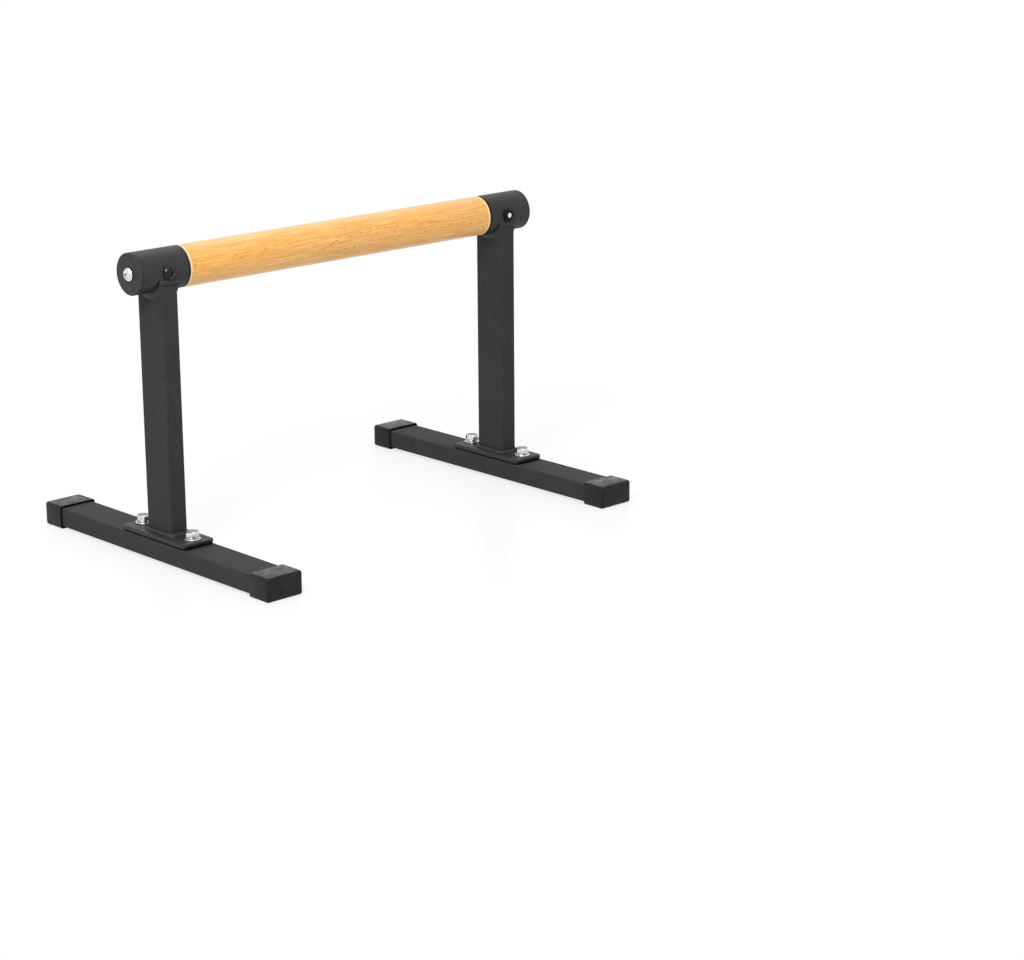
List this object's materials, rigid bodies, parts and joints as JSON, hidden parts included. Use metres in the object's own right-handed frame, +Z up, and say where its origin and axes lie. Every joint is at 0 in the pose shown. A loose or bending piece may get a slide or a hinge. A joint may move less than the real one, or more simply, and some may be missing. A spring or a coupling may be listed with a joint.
{
  "type": "parallette bar",
  "caption": "Free-standing parallette: a round wooden grip held in steel sleeves on rectangular tube posts, each post bolted by its base plate to a steel foot with rubber end caps.",
  "frame": {"origin": "on the floor under the middle of the grip", "axes": "+X along the grip, +Y along the feet, +Z up"},
  "size_m": [0.5296, 0.3762, 0.3166],
  "materials": {
    "beech": "satin lacquered beech",
    "powder_coat": "fine-texture matte black powder coat",
    "rubber": "matte moulded rubber",
    "zinc_plated": "bright zinc plate",
    "black_oxide": "glossy black finish on steel",
    "brass": "plain turned brass"
  },
  "bodies": {
    "root": {"wooden_grip": "beech", "sleeve_left": "powder_coat", "sleeve_right": "powder_coat", "end_disc_left": "powder_coat", "end_disc_right": "powder_coat", "end_screw_left": "zinc_plated", "end_screw_right": "zinc_plated", "end_insert_left": "brass", "end_insert_right": "brass", "cross_bolt_left": "black_oxide", "cross_bolt_right": "black_oxide", "cross_nut_left": "black_oxide", "cross_nut_right": "black_oxide", "sleeve_weld_left": "powder_coat", "sleeve_weld_right": "powder_coat", "post_left": "powder_coat", "post_right": "powder_coat", "post_weld_left": "powder_coat", "post_weld_right": "powder_coat", "base_plate_left": "powder_coat", "base_plate_right": "powder_coat", "foot_tube_left": "powder_coat", "foot_tube_right": "powder_coat", "foot_cap_left_front": "rubber", "foot_cap_left_back": "rubber", "foot_cap_right_front": "rubber", "foot_cap_right_back": "rubber", "base_bolt_left_front": "zinc_plated", "base_bolt_left_back": "zinc_plated", "base_bolt_right_front": "zinc_plated", "base_bolt_right_back": "zinc_plated", "spring_washer_left_front": "zinc_plated", "spring_washer_left_back": "zinc_plated", "spring_washer_right_front": "zinc_plated", "spring_washer_right_back": "zinc_plated", "flat_washer_left_front": "zinc_plated", "flat_washer_left_back": "zinc_plated", "flat_washer_right_front": "zinc_plated", "flat_washer_right_back": "zinc_plated", "weld_nut_left_front": "zinc_plated", "weld_nut_left_back": "zinc_plated", "weld_nut_right_front": "zinc_plated", "weld_nut_right_back": "zinc_plated"}
  },
  "joints": []
}
